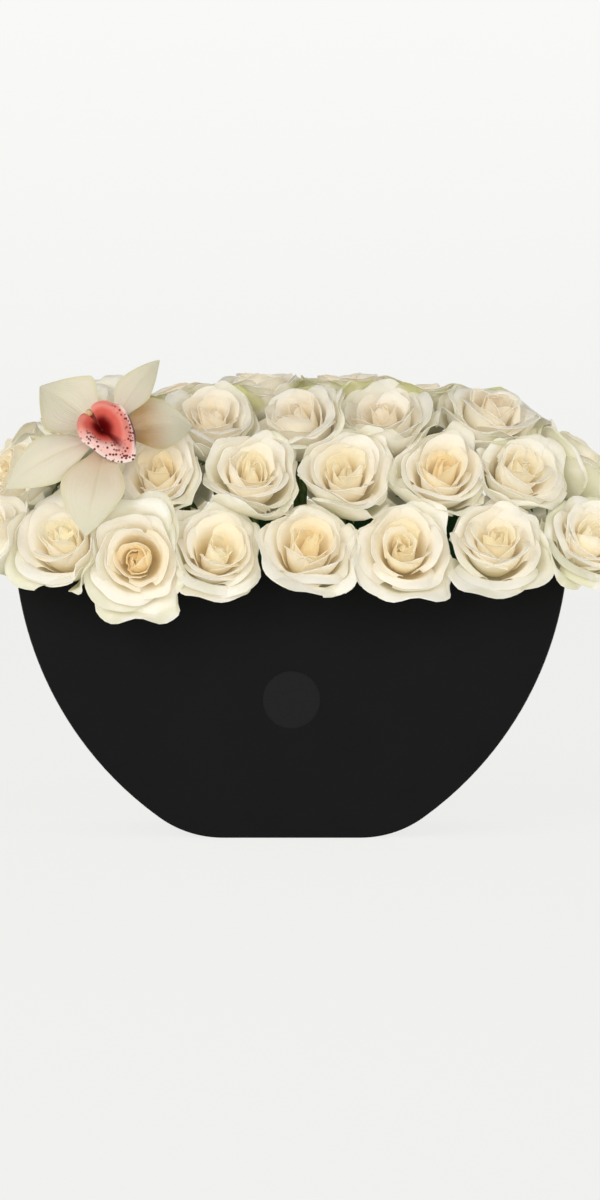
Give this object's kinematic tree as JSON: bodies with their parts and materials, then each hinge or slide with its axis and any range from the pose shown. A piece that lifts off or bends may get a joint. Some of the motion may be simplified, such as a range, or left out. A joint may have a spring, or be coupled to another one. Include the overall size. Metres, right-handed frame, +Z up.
{
  "type": "flower box",
  "caption": "Half-moon rigid flower box in matte black with flat faces, holding a lift-out lined foam insert covered in a mound of cream roses and one orchid.",
  "frame": {"origin": "middle of the base, on the surface that the box stands on", "axes": "+X along the box to its right as seen from the front, +Y from front to back, +Z up"},
  "size_m": [0.4937, 0.2395, 0.3354],
  "materials": {
    "cover_paper": "matte",
    "greyboard": "matte",
    "seal_paper": "satin",
    "liner_plastic": "gloss",
    "wet_foam": "matte",
    "rose_petal": "satin",
    "rose_green": "satin",
    "orchid_tepal": "satin",
    "orchid_lip": "satin",
    "orchid_column": "satin",
    "tube_plastic": "gloss",
    "tube_rubber": "matte"
  },
  "bodies": {
    "box": {"front_board": "greyboard", "back_board": "greyboard", "band_board": "greyboard", "base_stiffener": "greyboard", "front_cover": "cover_paper", "back_cover": "cover_paper", "left_end_cover": "cover_paper", "right_end_cover": "cover_paper", "base_sheet": "cover_paper", "front_seal": "seal_paper"},
    "insert": {"back_high_rose_1": "rose_petal", "back_high_rose_2": "rose_petal", "back_high_rose_3": "rose_petal", "back_high_rose_4": "rose_petal", "back_high_rose_5": "rose_petal", "back_low_roses": "rose_petal", "back_mid_roses": "rose_petal", "crown_rose_1": "rose_petal", "crown_rose_2": "rose_petal", "crown_rose_3": "rose_petal", "crown_rose_4": "rose_petal", "end_low_rose_1": "rose_petal", "end_low_rose_2": "rose_petal", "foam_crown": "wet_foam", "foam_left": "wet_foam", "foam_lower": "wet_foam", "foam_right": "wet_foam", "front_high_rose_1": "rose_petal", "front_high_rose_2": "rose_petal", "front_high_rose_3": "rose_petal", "front_high_rose_4": "rose_petal", "front_high_rose_5": "rose_petal", "front_low_rose_1": "rose_petal", "front_low_rose_2": "rose_petal", "front_low_rose_3": "rose_petal", "front_low_rose_4": "rose_petal", "front_low_rose_5": "rose_petal", "front_low_rose_6": "rose_petal", "front_low_rose_7": "rose_petal", "front_low_rose_8": "rose_petal", "front_mid_rose_1": "rose_petal", "front_mid_rose_2": "rose_petal", "front_mid_rose_3": "rose_petal", "front_mid_rose_4": "rose_petal", "front_mid_rose_5": "rose_petal", "front_mid_rose_6": "rose_petal", "front_mid_rose_7": "rose_petal", "liner_tray": "liner_plastic", "orchid_column": "orchid_column", "orchid_lip": "orchid_lip", "orchid_petals": "orchid_tepal", "orchid_sepals": "orchid_tepal", "orchid_tube_cap": "tube_rubber", "orchid_water_tube": "tube_plastic", "rose_stems": "rose_green"}
  },
  "joints": [
    {"name": "insert_lift", "type": "slide", "parent": "box", "child": "insert", "axis": [0, 0, 1], "range_m": [0, 0.2]}
  ]
}
